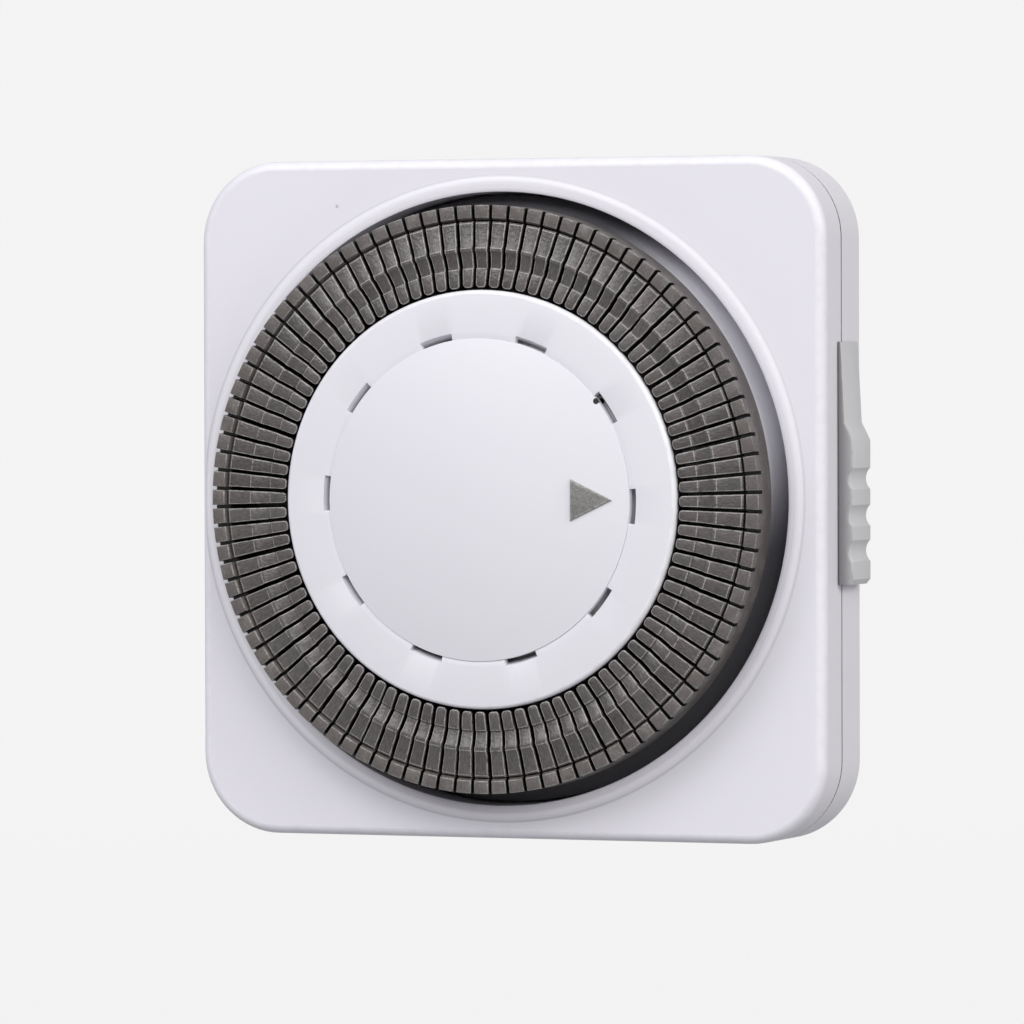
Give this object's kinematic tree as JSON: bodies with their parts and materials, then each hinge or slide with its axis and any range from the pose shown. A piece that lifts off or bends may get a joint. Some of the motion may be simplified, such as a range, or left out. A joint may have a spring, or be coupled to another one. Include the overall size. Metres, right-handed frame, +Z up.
{
  "type": "water heater timer",
  "caption": "Square wall-mounted mechanical timer with a round dial of push-in tappets, a fixed pointer, a side slide selector and a rear pod with screw terminals.",
  "frame": {"origin": "middle of the two wall box screws, where the dial's axis meets the wall's face", "axes": "+Z up, +X to the right seen from the front, -Y out of the wall towards the viewer"},
  "size_m": [0.0808, 0.0441, 0.08],
  "materials": {
    "case_white": "satin moulded",
    "face_white": "satin moulded",
    "pod_grey": "fine matt",
    "dial_brown": "satin",
    "tappet_grey": "satin moulded",
    "arrow_grey": "satin moulded",
    "knob_grey": "satin moulded",
    "acetal": "natural",
    "terminal_white": "matt",
    "steel": "zinc plated",
    "brass": "stamped and turned",
    "bronze": "spring strip",
    "silver": "turned contact rivet"
  },
  "bodies": {
    "case": {"wall_frame": "case_white", "front_shell": "case_white", "movement_case": "pod_grey", "movement_plate": "steel", "dial_post": "steel", "retaining_clip": "steel", "pointer_cap": "face_white", "pointer_arrow": "arrow_grey", "motor_can": "steel", "gear_pin": "steel", "lever_pin": "steel", "terminal_block": "terminal_white", "terminal_clamps": "brass", "clamp_screws": "steel", "blade_bracket": "brass", "fixed_contact": "brass", "override_contacts": "brass", "plate_screws": "steel", "motor_screws": "steel", "case_screws": "steel"},
    "dial": {"dial_wheel": "dial_brown", "dial_face": "face_white"},
    "tappets_00": {"tappets_hour_00": "tappet_grey"},
    "tappets_01": {"tappets_hour_01": "tappet_grey"},
    "tappets_02": {"tappets_hour_02": "tappet_grey"},
    "tappets_03": {"tappets_hour_03": "tappet_grey"},
    "tappets_04": {"tappets_hour_04": "tappet_grey"},
    "tappets_05": {"tappets_hour_05": "tappet_grey"},
    "tappets_06": {"tappets_hour_06": "tappet_grey"},
    "tappets_07": {"tappets_hour_07": "tappet_grey"},
    "tappets_08": {"tappets_hour_08": "tappet_grey"},
    "tappets_09": {"tappets_hour_09": "tappet_grey"},
    "tappets_10": {"tappets_hour_10": "tappet_grey"},
    "tappets_11": {"tappets_hour_11": "tappet_grey"},
    "tappets_12": {"tappets_hour_12": "tappet_grey"},
    "tappets_13": {"tappets_hour_13": "tappet_grey"},
    "tappets_14": {"tappets_hour_14": "tappet_grey"},
    "tappets_15": {"tappets_hour_15": "tappet_grey"},
    "tappets_16": {"tappets_hour_16": "tappet_grey"},
    "tappets_17": {"tappets_hour_17": "tappet_grey"},
    "tappets_18": {"tappets_hour_18": "tappet_grey"},
    "tappets_19": {"tappets_hour_19": "tappet_grey"},
    "tappets_20": {"tappets_hour_20": "tappet_grey"},
    "tappets_21": {"tappets_hour_21": "tappet_grey"},
    "tappets_22": {"tappets_hour_22": "tappet_grey"},
    "tappets_23": {"tappets_hour_23": "tappet_grey"},
    "idler": {"idler_gear": "acetal"},
    "motor_output": {"motor_pinion": "brass"},
    "trip_lever": {"trip_lever": "acetal"},
    "contact_blade": {"contact_blade": "bronze", "moving_contact": "silver"},
    "selector": {"slide_knob": "knob_grey", "selector_bar": "acetal", "selector_bridge": "bronze"}
  },
  "joints": [
    {"name": "dial_turn", "type": "hinge", "parent": "case", "child": "dial", "pos_m": [0, 0, 0], "axis": [0, -1, 0], "continuous": true},
    {"name": "push_00", "type": "slide", "parent": "dial", "child": "tappets_00", "axis": [0, 1, 0], "range_m": [0, 0.0022]},
    {"name": "push_01", "type": "slide", "parent": "dial", "child": "tappets_01", "axis": [0, 1, 0], "range_m": [0, 0.0022]},
    {"name": "push_02", "type": "slide", "parent": "dial", "child": "tappets_02", "axis": [0, 1, 0], "range_m": [0, 0.0022]},
    {"name": "push_03", "type": "slide", "parent": "dial", "child": "tappets_03", "axis": [0, 1, 0], "range_m": [0, 0.0022]},
    {"name": "push_04", "type": "slide", "parent": "dial", "child": "tappets_04", "axis": [0, 1, 0], "range_m": [0, 0.0022]},
    {"name": "push_05", "type": "slide", "parent": "dial", "child": "tappets_05", "axis": [0, 1, 0], "range_m": [0, 0.0022]},
    {"name": "push_06", "type": "slide", "parent": "dial", "child": "tappets_06", "axis": [0, 1, 0], "range_m": [0, 0.0022]},
    {"name": "push_07", "type": "slide", "parent": "dial", "child": "tappets_07", "axis": [0, 1, 0], "range_m": [0, 0.0022]},
    {"name": "push_08", "type": "slide", "parent": "dial", "child": "tappets_08", "axis": [0, 1, 0], "range_m": [0, 0.0022]},
    {"name": "push_09", "type": "slide", "parent": "dial", "child": "tappets_09", "axis": [0, 1, 0], "range_m": [0, 0.0022]},
    {"name": "push_10", "type": "slide", "parent": "dial", "child": "tappets_10", "axis": [0, 1, 0], "range_m": [0, 0.0022]},
    {"name": "push_11", "type": "slide", "parent": "dial", "child": "tappets_11", "axis": [0, 1, 0], "range_m": [0, 0.0022]},
    {"name": "push_12", "type": "slide", "parent": "dial", "child": "tappets_12", "axis": [0, 1, 0], "range_m": [0, 0.0022]},
    {"name": "push_13", "type": "slide", "parent": "dial", "child": "tappets_13", "axis": [0, 1, 0], "range_m": [0, 0.0022]},
    {"name": "push_14", "type": "slide", "parent": "dial", "child": "tappets_14", "axis": [0, 1, 0], "range_m": [0, 0.0022]},
    {"name": "push_15", "type": "slide", "parent": "dial", "child": "tappets_15", "axis": [0, 1, 0], "range_m": [0, 0.0022]},
    {"name": "push_16", "type": "slide", "parent": "dial", "child": "tappets_16", "axis": [0, 1, 0], "range_m": [0, 0.0022]},
    {"name": "push_17", "type": "slide", "parent": "dial", "child": "tappets_17", "axis": [0, 1, 0], "range_m": [0, 0.0022]},
    {"name": "push_18", "type": "slide", "parent": "dial", "child": "tappets_18", "axis": [0, 1, 0], "range_m": [0, 0.0022]},
    {"name": "push_19", "type": "slide", "parent": "dial", "child": "tappets_19", "axis": [0, 1, 0], "range_m": [0, 0.0022]},
    {"name": "push_20", "type": "slide", "parent": "dial", "child": "tappets_20", "axis": [0, 1, 0], "range_m": [0, 0.0022]},
    {"name": "push_21", "type": "slide", "parent": "dial", "child": "tappets_21", "axis": [0, 1, 0], "range_m": [0, 0.0022]},
    {"name": "push_22", "type": "slide", "parent": "dial", "child": "tappets_22", "axis": [0, 1, 0], "range_m": [0, 0.0022]},
    {"name": "push_23", "type": "slide", "parent": "dial", "child": "tappets_23", "axis": [0, 1, 0], "range_m": [0, 0.0022]},
    {"name": "idler_turn", "type": "hinge", "parent": "case", "child": "idler", "pos_m": [0.0105, -0.0062, 0.01819], "axis": [0, -1, 0], "continuous": true},
    {"name": "motor_turn", "type": "hinge", "parent": "case", "child": "motor_output", "pos_m": [0.0059, -0.0035, 0.01022], "axis": [0, -1, 0], "continuous": true},
    {"name": "lever_rock", "type": "hinge", "parent": "case", "child": "trip_lever", "pos_m": [0, -0.0052, -0.01], "axis": [1, 0, 0], "range_deg": [0, 6.4]},
    {"name": "blade_bend", "type": "hinge", "parent": "case", "child": "contact_blade", "pos_m": [0, -0.0005, -0.011], "axis": [1, 0, 0], "range_deg": [0, 7.1]},
    {"name": "selector_slide", "type": "slide", "parent": "case", "child": "selector", "axis": [0, 0, 1], "range_m": [0, 0.0055]}
  ],
  "couplings": [
    {"joint": "idler_turn", "follows": "dial_turn", "ratio": -6},
    {"joint": "motor_turn", "follows": "dial_turn", "ratio": 21.6},
    {"joint": "lever_rock", "follows": "push_18", "rad_per_m": 50.75},
    {"joint": "blade_bend", "follows": "push_18", "rad_per_m": 56}
  ]
}
